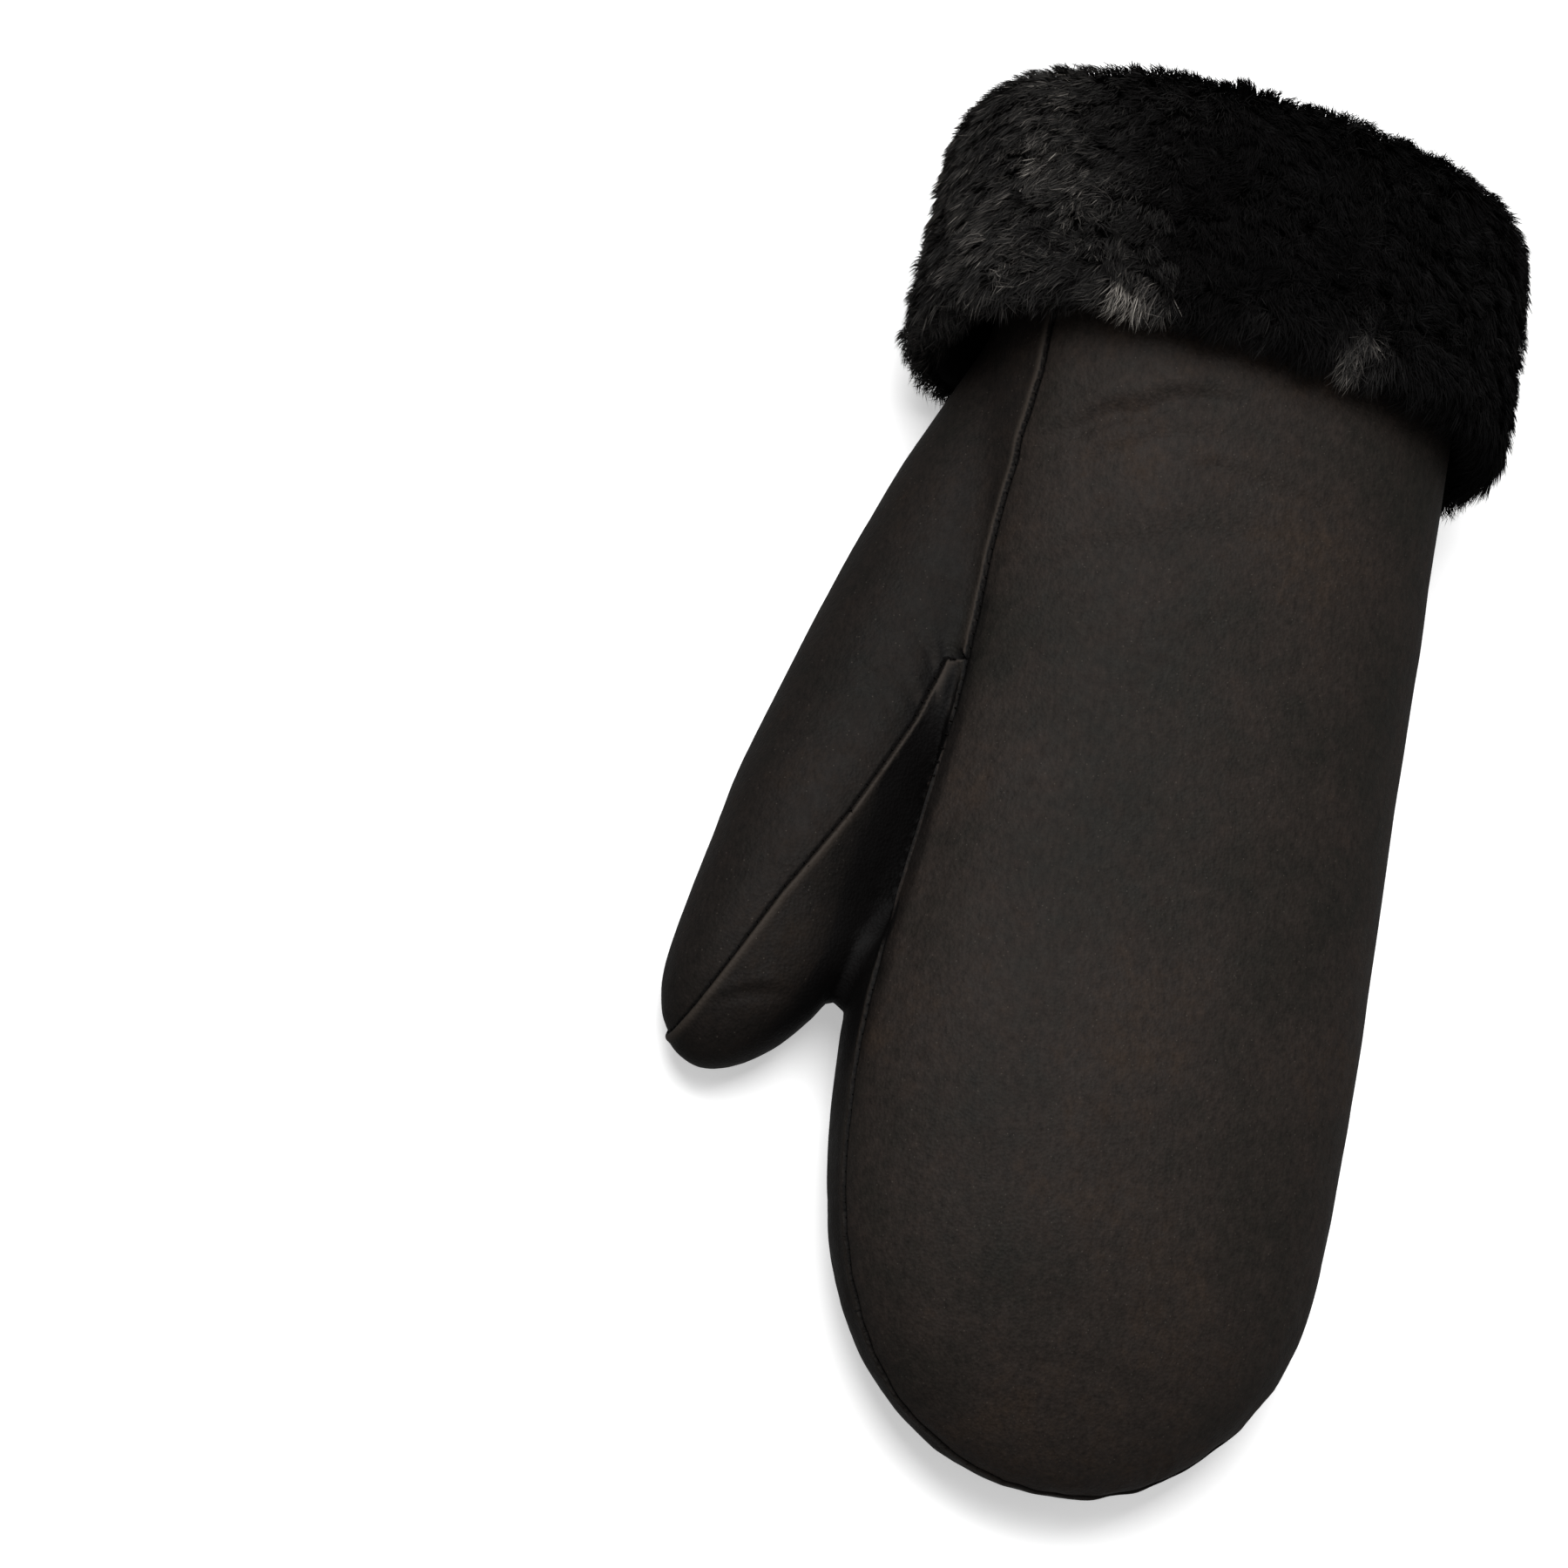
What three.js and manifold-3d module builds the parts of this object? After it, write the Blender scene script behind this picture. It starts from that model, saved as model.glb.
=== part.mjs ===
// A sheepskin mitten for the left hand, leather outside and wool inside, with its mouth turned up as a
// deep wool cuff. It lies palm down. Millimetres, +Z up: +Y runs from the fingertips to the mouth, and the
// thumb lies on the -X side. The origin is on the floor below the middle of the whole mitten.
import * as THREE from "three";
import { mergeVertices } from "three/addons/utils/BufferGeometryUtils.js";
import Module from "manifold-3d";

const wasm = await Module();
wasm.setup();

// Driving dimensions, in millimetres
const HAND_LENGTH = 280; // from the fingertips to the crest of the mouth's fold
const HAND_WIDTH = 104; // across the knuckles
const HAND_HEIGHT = 54; // over the palm, as the lining fills it
const TIP_ROUND = 52; // how far the rounded fingertip end reaches, seen from above
const TIP_BEVEL = 40; // how far the fingertip end takes to reach its full height, seen from the side
const SKIN_AND_WOOL = 8; // the wall of the hand and thumb
const SEAM_GAP = 0.3; // between the edges of two sewn panels

const THUMB_WIDTH = 44; // across the thumb at its root
const THUMB_HEIGHT = 38;
const THUMB_FORWARD = 86; // from the crotch of the thumb to its tip, along the hand
const THUMB_OUT = 34; // how far the tip lies outside the hand's side at the crotch
const THUMB_TIP_ROUND = 22; // how far the rounded end of the thumb reaches
const CROTCH_TO_MOUTH = 123; // from the crotch, where the palm's seam meets the side seam, to the fold's crest
const SEAM_STEP = 1.6; // how far outside the hand's side the palm's seam turns towards the thumb
const SEAM_OVER_THUMB = 0.8; // the least height of the side seam above the thumb

const CUFF_LENGTH = 62; // from the crest of the fold to the hem
const CUFF_WALL = 10.5; // skin and the long wool of the turned-up flap
const CUFF_GAP = 1.3; // between the flap and the leather under it
const CUFF_FLARE = 8; // how much further the flap stands off on the thumb's side, at the hem
const CUFF_SLANT = 3; // how much further the flap reaches on the thumb's side than on the far side
const CUFF_LEG = 6; // the inner lip, from the fold to where it meets the panels
const CUFF_PRESS = 1.2; // how far the wool gives way where it lies on the floor
const LOCK_DEPTH = 1.9; // relief of the wool's locks
const LOCK_SPAN = 13; // width of one lock, round the cuff
const LOCK_ROWS = 6; // rows of locks between the hem and the fold
const LOCK_VARIES = 0.3; // the share by which some locks are fuller than others
const LOCK_PATCHES = 5; // how often fuller and thinner locks follow each other, round the cuff

// How fine the faces are
const HAND_SIDES = 40;
const LINING_SIDES = 28;
const LOCK_SIDES = 4; // faces round one lock
const THUMB_SIDES = 24;
const TIP_STEPS = 7;
const HAND_STEPS = 14;
const THUMB_STEPS = 8;
const HEM_STEPS = 4;
const FOLD_STEPS = 6;
const BEND_STEPS = 2;

const CROTCH_AT = HAND_LENGTH - CROTCH_TO_MOUTH;
const FOLD_RADIUS = (SKIN_AND_WOOL + CUFF_GAP + CUFF_WALL) / 2;
const FOLD_START = HAND_LENGTH - FOLD_RADIUS;
const PANEL_END = FOLD_START - CUFF_LEG - SEAM_GAP;
const WRIST_LIFT = CUFF_WALL + CUFF_GAP - CUFF_PRESS; // the flap lies under the wrist and raises it

// Sections of the hand. at is a share of HAND_LENGTH, and shift, left and right are shares of HAND_WIDTH.
// over, the height of the widest place in mid, and the seams' heights in near and far, on the thumb's side
// and on the far side, are shares of HAND_HEIGHT. lift is a share of WRIST_LIFT.
const HAND = [
  { at: 0, shift: 0, left: 0.48, right: 0.47, over: 0.66, mid: 0.3, near: 0.31, far: 0.3, lift: 0 },
  { at: 0.13, shift: 0, left: 0.482, right: 0.48, over: 0.82, mid: 0.37, near: 0.44, far: 0.35, lift: 0 },
  { at: 0.26, shift: 0, left: 0.51, right: 0.495, over: 0.95, mid: 0.43, near: 0.53, far: 0.4, lift: 0 },
  { at: 0.4, shift: 0, left: 0.485, right: 0.503, over: 1, mid: 0.48, near: 0.62, far: 0.45, lift: 0 },
  { at: 0.53, shift: 0.01, left: 0.45, right: 0.5, over: 1.02, mid: 0.5, near: 0.67, far: 0.48, lift: 0.12 },
  { at: 0.67, shift: 0.02, left: 0.45, right: 0.488, over: 1.03, mid: 0.52, near: 0.7, far: 0.5, lift: 0.5 },
  { at: 0.8, shift: 0.025, left: 0.455, right: 0.48, over: 1.04, mid: 0.52, near: 0.79, far: 0.5, lift: 1 },
  { at: 1, shift: 0.025, left: 0.47, right: 0.485, over: 1.06, mid: 0.54, near: 0.82, far: 0.54, lift: 1 },
];

// Sections of the thumb, from its root inside the hand to its tip. forward is a share of THUMB_FORWARD and
// out of THUMB_OUT, both counted from the crotch. wide is a share of THUMB_WIDTH, over, mid and under are
// shares of THUMB_HEIGHT, and seam is how far the seam runs outside the middle, as a share of the half width.
const THUMB = [
  { forward: -0.8, out: -0.6, wide: 0.9, over: 1.08, mid: 0.7, under: 0.36, seam: -0.2 },
  { forward: -0.4, out: -0.22, wide: 1.0, over: 1.03, mid: 0.6, under: 0.12, seam: -0.2 },
  { forward: 0.03, out: 0.13, wide: 1.02, over: 0.93, mid: 0.48, under: 0, seam: -0.14 },
  { forward: 0.41, out: 0.45, wide: 0.97, over: 0.87, mid: 0.43, under: -0.03, seam: 0.03 },
  { forward: 0.65, out: 0.67, wide: 0.8, over: 0.8, mid: 0.4, under: -0.03, seam: 0.2 },
  { forward: 1.0, out: 1.04, wide: 0.58, over: 0.62, mid: 0.3, under: -0.03, seam: 0.28 },
];

const SEAM_JOINS = 0.46; // the share of the thumb's spine where the palm's seam joins it
const FLOOR = 0;
const SOFT_SIDE = 2.15; // 2 is an ellipse, and more is squarer
const FLAT_UNDER = 2.7;

// Reads a table of sections at any share of its length, with a smooth curve through each column
function columnsOf(rows) {
  const names = Object.keys(rows[0]).filter((name) => name !== "at");
  const curve = new THREE.CubicInterpolant(
    rows.map((row, i) => row.at ?? i / (rows.length - 1)),
    rows.flatMap((row) => names.map((name) => row[name])),
    names.length,
  );
  return (at) => {
    const values = curve.evaluate(at);
    return Object.fromEntries(names.map((name, i) => [name, values[i]]));
  };
}

const handAt = columnsOf(HAND);
const thumbAt = columnsOf(THUMB);
const thumbTop = new THREE.LinearInterpolant(
  THUMB.map((row) => row.forward),
  THUMB.map((row) => row.over),
  1,
);

// A rounded end: 0 at its tip and 1 where the full size is reached
function dome(distance, reach) {
  const rest = 1 - Math.min(1, Math.max(0, distance / reach));
  return Math.sqrt(1 - rest * rest);
}

function bulge(value, power) {
  return Math.sign(value) * Math.abs(value) ** (2 / power);
}

// One closed ring of points round a section that stands upright on the spine, flat where it meets the floor.
// relief adds to the section's reach, point by point.
function ringOf({ foot, side, left, right, over, under, floor }, count, relief = () => 0) {
  return Array.from({ length: count }, (_, i) => {
    const angle = (2 * Math.PI * i) / count;
    const across = Math.cos(angle);
    const up = Math.sin(angle);
    const power = up > 0 ? SOFT_SIDE : FLAT_UNDER;
    const extra = relief(angle, i);
    const reach = bulge(across, power) * ((across > 0 ? right : left) + extra);
    const rise = bulge(up, power) * ((up > 0 ? over : under) + extra);
    const point = foot.clone().addScaledVector(side, reach);
    point.z = Math.max(floor, foot.z + rise);
    return point;
  });
}

// The hand's section at a distance from the fingertips, with its wall taken off or an offset put on
function handSection(y, offset = 0, tip = 0) {
  const row = handAt(y / HAND_LENGTH);
  const lift = row.lift * WRIST_LIFT;
  const wide = dome(y - tip, TIP_ROUND - tip);
  const high = dome(y - tip, TIP_BEVEL - tip);
  const mid = row.mid * HAND_HEIGHT + lift;
  return {
    foot: new THREE.Vector3(row.shift * HAND_WIDTH, y, mid),
    side: new THREE.Vector3(1, 0, 0),
    left: (row.left * HAND_WIDTH + offset) * wide,
    right: (row.right * HAND_WIDTH + offset) * wide,
    over: (row.over * HAND_HEIGHT + lift - mid + offset) * high,
    under: (mid - lift + CUFF_PRESS + offset) * high,
    floor: Math.max(FLOOR, FLOOR - offset),
  };
}

// Where the seams run at a distance from the fingertips. The one on the thumb's side passes over the thumb.
function seamHeights(y) {
  const row = handAt(y / HAND_LENGTH);
  const lift = row.lift * WRIST_LIFT;
  const [over] = thumbTop.evaluate((CROTCH_AT - y) / THUMB_FORWARD);
  const thumb = over * THUMB_HEIGHT + SEAM_OVER_THUMB;
  const onThumb = y > CROTCH_AT - THUMB_FORWARD;
  const near = row.near * HAND_HEIGHT + lift;
  return { near: onThumb ? Math.max(near, thumb) : near, far: row.far * HAND_HEIGHT + lift };
}

// The faces between each ring and the next, by the numbers of their points. In a band that comes back to its
// first ring their diagonals run by turns to one side and the other.
function bandFaces(ringCount, sides, closed) {
  const index = [];
  for (let i = 0; i < ringCount - (closed ? 0 : 1); i += 1) {
    const near = i * sides;
    const far = ((i + 1) % ringCount) * sides;
    for (let j = 0; j < sides; j += 1) {
      const next = (j + 1) % sides;
      const turned = closed && (i + j) % 2 === 1;
      if (turned) index.push(near + j, far + j, near + next, near + next, far + j, far + next);
      else index.push(near + j, far + j, far + next, near + j, far + next, near + next);
    }
  }
  return index;
}

// A solid skinned over a stack of rings, with a point that closes each end
function loft(rings, firstEnd, lastEnd) {
  const sides = rings[0].length;
  const points = [...rings.flat(), firstEnd, lastEnd];
  const index = bandFaces(rings.length, sides, false);
  const last = (rings.length - 1) * sides;
  for (let j = 0; j < sides; j += 1) {
    const next = (j + 1) % sides;
    index.push(points.length - 2, j, next);
    index.push(points.length - 1, last + next, last + j);
  }
  return solidOf(new THREE.BufferGeometry().setFromPoints(points).setIndex(index));
}

// A solid skinned over rings that come back to the first one, such as a turned-up band
function loopedLoft(rings) {
  const index = bandFaces(rings.length, rings[0].length, true);
  return solidOf(new THREE.BufferGeometry().setFromPoints(rings.flat()).setIndex(index));
}

function middleOf(ring) {
  return ring.reduce((sum, point) => sum.add(point), new THREE.Vector3()).divideScalar(ring.length);
}

function solidOf(geometry) {
  const merged = mergeVertices(geometry);
  return new wasm.Manifold(
    new wasm.Mesh({
      numProp: 3,
      vertProperties: merged.attributes.position.array,
      triVerts: Uint32Array.from(merged.index.array),
    }),
  );
}

function spread(from, to, steps) {
  return Array.from({ length: steps }, (_, i) => from + ((to - from) * (i + 1)) / steps);
}

// The hand as a closed form, from the fingertips to a flat end
function handForm(sides, offset, end) {
  const tip = -offset;
  const round = TIP_ROUND - tip;
  const rounded = spread(0, 1, TIP_STEPS).map((t) => tip + round * (1 - Math.cos((t * Math.PI) / 2)));
  const straight = spread(TIP_ROUND, end, HAND_STEPS);
  const rings = [...rounded, ...straight].map((y) => ringOf(handSection(y, offset, tip), sides));
  const nose = handSection(tip, offset, tip).foot;
  return loft(rings, nose, middleOf(rings.at(-1)));
}

const crotchSection = handSection(CROTCH_AT);
const crotch = new THREE.Vector3(crotchSection.foot.x - crotchSection.left, CROTCH_AT, 0);

const thumbSpine = new THREE.CatmullRomCurve3(
  THUMB.map((row) =>
    new THREE.Vector3(-row.out * THUMB_OUT, -row.forward * THUMB_FORWARD, 0).add(crotch),
  ),
);

// The thumb's section at a share of its spine
function thumbSection(share, offset) {
  const length = thumbSpine.getLength();
  const fromTip = (1 - share) * length + offset;
  const end = dome(fromTip, THUMB_TIP_ROUND + offset);
  const row = thumbAt(thumbSpine.getUtoTmapping(share));
  const along = thumbSpine.getTangentAt(share);
  const mid = row.mid * THUMB_HEIGHT;
  const half = (row.wide * THUMB_WIDTH) / 2;
  return {
    foot: thumbSpine.getPointAt(share).setZ(mid),
    side: new THREE.Vector3(-along.y, along.x, 0).normalize(),
    left: (half + offset) * end,
    right: (half + offset) * end,
    over: (row.over * THUMB_HEIGHT - mid + offset) * end,
    under: (mid - row.under * THUMB_HEIGHT + offset) * end,
    floor: Math.max(FLOOR, FLOOR - offset),
  };
}

function thumbForm(sides, offset) {
  const length = thumbSpine.getLength();
  const end = 1 + offset / length;
  const round = (THUMB_TIP_ROUND + offset) / length;
  const straight = [0, ...spread(0, end - round, THUMB_STEPS)];
  const rounded = spread(0, 1, TIP_STEPS)
    .slice(0, -1)
    .map((t) => end - round * (1 - Math.sin((t * Math.PI) / 2)));
  const rings = [...straight, ...rounded].map((share) => ringOf(thumbSection(share, offset), sides));
  return loft(rings.toReversed(), thumbSection(end, offset).foot, middleOf(rings[0]));
}

// A thin upright or level sheet, a SEAM_GAP thick, that parts two panels along their seam
function seamSheet(lines) {
  return loft(lines, middleOf(lines[0]), middleOf(lines.at(-1)));
}

function sideSeamSheet() {
  const stations = spread(-TIP_ROUND, HAND_LENGTH, TIP_STEPS + HAND_STEPS);
  return seamSheet(
    stations.map((y) => {
      const section = handSection(Math.max(y, TIP_ROUND));
      const { near, far } = seamHeights(y);
      const nearX = section.foot.x - section.left - SEAM_STEP / 2;
      const farX = section.foot.x + section.right + SEAM_STEP / 2;
      return [
        new THREE.Vector3(farX, y, far - SEAM_GAP / 2),
        new THREE.Vector3(farX, y, far + SEAM_GAP / 2),
        new THREE.Vector3(nearX, y, near + SEAM_GAP / 2),
        new THREE.Vector3(nearX, y, near - SEAM_GAP / 2),
      ];
    }),
  );
}

function palmSeamSheet() {
  const beyond = thumbSpine.getPointAt(1).addScaledVector(thumbSpine.getTangentAt(1), THUMB_TIP_ROUND);
  const onThumb = spread(SEAM_JOINS, 1, THUMB_STEPS).map((share) => {
    const row = thumbAt(thumbSpine.getUtoTmapping(share));
    const { side } = thumbSection(share, 0);
    return thumbSpine.getPointAt(share).addScaledVector(side, (-row.seam * THUMB_WIDTH) / 2);
  });
  const corner = crotch.clone().setX(crotch.x - SEAM_STEP);
  const path = [new THREE.Vector3(HAND_WIDTH, CROTCH_AT, 0), corner, ...onThumb, beyond];
  return seamSheet(
    path.map((point, i) => {
      const from = path[Math.max(0, i - 1)];
      const to = path[Math.min(path.length - 1, i + 1)];
      const along = to.clone().sub(from).normalize();
      const aside = new THREE.Vector3(-along.y, along.x, 0).multiplyScalar(SEAM_GAP / 2);
      return [
        point.clone().sub(aside).setZ(2 * HAND_HEIGHT),
        point.clone().add(aside).setZ(2 * HAND_HEIGHT),
        point.clone().add(aside).setZ(-HAND_HEIGHT),
        point.clone().sub(aside).setZ(-HAND_HEIGHT),
      ];
    }),
  );
}

// The three leather panels, parted along their seams
function panels() {
  const outside = handForm(HAND_SIDES, 0, PANEL_END).add(thumbForm(THUMB_SIDES, 0));
  const inside = handForm(LINING_SIDES, -SKIN_AND_WOOL, PANEL_END + FOLD_RADIUS).add(
    thumbForm(THUMB_SIDES, -SKIN_AND_WOOL),
  );
  const byHeight = (a, b) => b.boundingBox().max[2] - a.boundingBox().max[2];
  const byReach = (a, b) => a.boundingBox().min[1] - b.boundingBox().min[1];
  const [back, under] = outside.subtract(inside).subtract(sideSeamSheet()).decompose().sort(byHeight);
  const [fingers, wrist] = under.subtract(palmSeamSheet()).decompose().sort(byReach);
  return { back_panel: back, finger_palm_panel: fingers, wrist_palm_panel: wrist };
}

// The cuff's section, from the hem up the wool side, over the fold, and back down between flap and leather.
// y is the distance from the fingertips, off how far outside the leather, and wool how tall its locks stand.
function cuffProfile() {
  const arc = (y, off, radius, from, to, steps, woolAt) =>
    [0, ...spread(0, 1, steps)].map((t) => {
      const angle = from + (to - from) * t;
      return { y: y + radius * Math.cos(angle), off: off + radius * Math.sin(angle), wool: woolAt(t) };
    });
  const quarter = Math.PI / 2;
  const half = CUFF_WALL / 2;
  const hem = HAND_LENGTH - CUFF_LENGTH + half;
  const outer = CUFF_GAP + CUFF_WALL;
  const foldMiddle = (outer - SKIN_AND_WOOL) / 2;
  const hemArc = arc(hem, CUFF_GAP + half, half, 3 * quarter, quarter, HEM_STEPS, (t) => t);
  const flap = spread(hem, FOLD_START, 2 * LOCK_ROWS).map((y) => ({ y, off: outer, wool: 1 }));
  const fold = arc(FOLD_START, foldMiddle, FOLD_RADIUS, quarter, -quarter, FOLD_STEPS, (t) => 1 - t);
  const lip = [
    { y: FOLD_START - CUFF_LEG, off: -SKIN_AND_WOOL, wool: 0 },
    { y: FOLD_START - CUFF_LEG, off: 0, wool: 0 },
  ];
  const bend = arc(FOLD_START, CUFF_GAP / 2, CUFF_GAP / 2, -quarter, quarter, BEND_STEPS, () => 0);
  return [...hemArc, ...flap, ...fold.slice(1), ...lip, ...bend];
}

// The turned-up flap with its rolled edge, and the wool's locks standing on it in staggered rows
function cuff() {
  const girth = (Math.PI * (HAND_WIDTH + HAND_HEIGHT)) / 2 + 2 * Math.PI * CUFF_WALL;
  const locks = Math.round(girth / LOCK_SPAN);
  const rings = cuffProfile().map(({ y, off, wool }, row) => {
    const down = (HAND_LENGTH - y) / CUFF_LENGTH;
    const stagger = Math.floor(row / 2) * Math.PI;
    const height = row % 2 === 0 ? LOCK_DEPTH * wool : 0;
    const relief = (angle) => {
      const flare = off > 0 ? CUFF_FLARE * down * Math.max(0, -Math.cos(angle)) ** 2 : 0;
      const sway = Math.sin(LOCK_PATCHES * angle + 2 * row);
      const fullness = 1 - LOCK_VARIES * (1 + sway);
      return flare + height * fullness * Math.cos(locks * angle + stagger + sway);
    };
    const slant = (CUFF_SLANT * Math.max(0, off)) / (CUFF_GAP + CUFF_WALL);
    const ring = ringOf(handSection(y, off), LOCK_SIDES * locks, relief);
    const middle = middleOf(ring);
    ring.forEach((point) => {
      point.y += (slant * (middle.x - point.x)) / (HAND_WIDTH / 2);
    });
    return ring;
  });
  return loopedLoft(rings);
}

const leather = { color: 0x2b2521, roughness: 0.72, metalness: 0 };
const wool = { color: 0x1c1a19, roughness: 1, metalness: 0 };

function meshOf(name, solid, finish) {
  const { vertProperties, triVerts } = solid.getMesh();
  const geometry = new THREE.BufferGeometry();
  geometry.setAttribute("position", new THREE.BufferAttribute(vertProperties, 3));
  geometry.setIndex(new THREE.BufferAttribute(triVerts, 1));
  geometry.computeVertexNormals();
  const mesh = new THREE.Mesh(geometry, new THREE.MeshStandardMaterial(finish));
  mesh.name = name;
  return mesh;
}

const mitten = new THREE.Group();
for (const [name, solid] of Object.entries(panels())) mitten.add(meshOf(name, solid, leather));
mitten.add(meshOf("cuff", cuff(), wool));

// The floor below the middle of the whole mitten is its origin
const middle = new THREE.Box3().setFromObject(mitten).getCenter(new THREE.Vector3());
mitten.children.forEach((mesh) => mesh.position.set(-middle.x, -middle.y, -FLOOR));

export default mitten;
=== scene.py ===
# %% [markdown]
# # A sheepskin mitten with a turned-up wool cuff
# The mitten is one skin: smooth brown-black leather outside and dense sheared wool inside. Three pieces of
# it are sewn together, the back, the palm of the fingers and the palm of the wrist, and the mouth is turned
# up so that the wool shows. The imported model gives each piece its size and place. This script dresses it
# with soft leather, seams, stitches and real strands of wool, all in metres and in the model's own frame.

# %% The frame
import math

import bpy
import numpy as np
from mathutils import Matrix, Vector, noise
from mathutils.bvhtree import BVHTree
from mathutils.kdtree import KDTree


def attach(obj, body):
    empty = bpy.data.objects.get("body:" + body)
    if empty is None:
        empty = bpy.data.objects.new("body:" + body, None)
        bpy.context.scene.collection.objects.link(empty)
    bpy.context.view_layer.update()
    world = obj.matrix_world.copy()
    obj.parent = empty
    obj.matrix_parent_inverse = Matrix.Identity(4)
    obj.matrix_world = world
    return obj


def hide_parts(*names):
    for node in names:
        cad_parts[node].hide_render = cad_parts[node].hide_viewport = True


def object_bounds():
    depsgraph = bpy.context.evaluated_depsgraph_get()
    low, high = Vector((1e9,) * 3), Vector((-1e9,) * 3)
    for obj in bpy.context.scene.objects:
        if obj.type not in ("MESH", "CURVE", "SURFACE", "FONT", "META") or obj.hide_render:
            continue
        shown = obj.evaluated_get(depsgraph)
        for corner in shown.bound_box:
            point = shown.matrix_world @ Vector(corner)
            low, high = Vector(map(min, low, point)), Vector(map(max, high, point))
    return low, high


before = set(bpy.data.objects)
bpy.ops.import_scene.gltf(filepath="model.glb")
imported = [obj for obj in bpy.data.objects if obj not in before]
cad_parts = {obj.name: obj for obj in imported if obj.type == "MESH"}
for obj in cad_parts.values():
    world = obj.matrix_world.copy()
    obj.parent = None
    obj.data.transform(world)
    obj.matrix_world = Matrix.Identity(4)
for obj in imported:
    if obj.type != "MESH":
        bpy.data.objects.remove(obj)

MM = 0.001
cad_low, cad_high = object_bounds()
print("CAD box in mm", [[round(value / MM, 1) for value in corner] for corner in (cad_low, cad_high)])

# %% [markdown]
# A product photo of a small thing is taken from far off with a long lens, so that near and far parts keep
# their true proportions. This camera stands about 1.2 m away, above the fingertips and to the thumb's side,
# and is rolled a little, which sets the mitten aslant in a square picture.

# %% The camera
FRAME_PIXELS = 1800
FOCAL_PIXELS = 6900
SENSOR_MM = 36
CAMERA_PLACE_MM = (-365.8, -441.56, 1077.06)
CAMERA_TURN_DEG = (18.9365, -18.9271, 8.0339)

bpy.ops.object.camera_add(
    location=[value * MM for value in CAMERA_PLACE_MM],
    rotation=[math.radians(value) for value in CAMERA_TURN_DEG],
)
camera = bpy.context.object
camera.data.sensor_width = SENSOR_MM
camera.data.lens = FOCAL_PIXELS / FRAME_PIXELS * SENSOR_MM
bpy.context.scene.camera = camera
print("lens", round(camera.data.lens, 1), "mm")

# %% [markdown]
# Colours are chosen as sRGB hex values, as a picture editor shows them. Shaders work in linear light, so one
# function turns the one into the other, and every colour below goes through it.

# %% Colours
def linear(hex_value):
    """An sRGB colour such as 0x2B2521 as linear red, green, blue and a full alpha."""
    shares = [(hex_value >> shift & 255) / 255 for shift in (16, 8, 0)]
    return [c / 12.92 if c <= 0.04045 else ((c + 0.055) / 1.055) ** 2.4 for c in shares] + [1.0]

# %% [markdown]
# A material is a small tree of nodes. Adding a node, setting it and wiring it is the same work each time, so
# one helper does it: settings go to the node's own properties, inputs take a value or another node's output.

# %% One helper for every node
def add_node(tree, kind, settings=None, **inputs):
    """Adds a node, sets its properties and fills its inputs, by name with _ for a space or as i and a number."""
    node = tree.nodes.new(kind)
    for key, value in (settings or {}).items():
        setattr(node, key, value)
    for key, value in inputs.items():
        by_number = key[0] == "i" and key[1:].isdigit()
        socket = node.inputs[int(key[1:]) if by_number else key.replace("_", " ")]
        if isinstance(value, bpy.types.NodeSocket):
            tree.links.new(value, socket)
        else:
            socket.default_value = value
    return node


def new_material(name):
    """An empty node material and its tree."""
    material = bpy.data.materials.new(name)
    material.use_nodes = True
    material.node_tree.nodes.clear()
    return material, material.node_tree


def finish_material(tree, shader):
    add_node(tree, "ShaderNodeOutputMaterial", Surface=shader.outputs[0])


def ramp(tree, factor, *stops):
    """A colour ramp with a stop for each (place, hex colour)."""
    node = add_node(tree, "ShaderNodeValToRGB", Fac=factor)
    elements = node.color_ramp.elements
    for element, (place, colour) in zip(elements, stops):
        element.position, element.color = place, linear(colour)
    for place, colour in stops[len(elements):]:
        elements.new(place).color = linear(colour)
    return node.outputs["Color"]

# %% [markdown]
# The mitten lies on a white light table, as such goods are photographed: the table glows a little by itself,
# which thins the shadows, and one large soft lamp hangs overhead, a little behind and to the left. Dark
# goods keep their dark sides only if the white table throws no light back, so its bounce is switched off.

# %% Table and light
TABLE_SIDE = 6.0
TABLE_WHITE = 0xF2F2F2
TABLE_GLOW = 0.42

bpy.ops.mesh.primitive_plane_add(size=TABLE_SIDE, location=(0, 0, -0.0004))
table = bpy.context.object
table.name = "table_top"
table_material, tree = new_material("white_table")
grain = add_node(tree, "ShaderNodeTexNoise", Scale=40.0, Detail=2.0)
paint = add_node(
    tree, "ShaderNodeBsdfPrincipled", Roughness=0.9, Specular_IOR_Level=0.1,
    Base_Color=ramp(tree, grain.outputs["Fac"], (0.0, 0xEFEFEF), (1.0, TABLE_WHITE)),
    Emission_Color=linear(0xFFFFFF), Emission_Strength=TABLE_GLOW,
)
finish_material(tree, paint)
table.data.materials.append(table_material)
table.visible_diffuse = False
table.visible_glossy = False


def soft_light(name, place, aim, side, watts):
    """A square lamp that looks from its place to its aim."""
    bpy.ops.object.light_add(type="AREA", location=place)
    lamp = bpy.context.object
    lamp.name = name
    lamp.data.size = side
    lamp.data.energy = watts
    lamp.rotation_euler = (Vector(aim) - Vector(place)).to_track_quat("-Z", "Y").to_euler()
    return lamp


LAMP_PLACE = (-0.35, 0.42, 1.4)
LAMP_SIDE = 1.1
LAMP_WATTS = 31
ROOM_STRENGTH = 0.35

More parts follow.
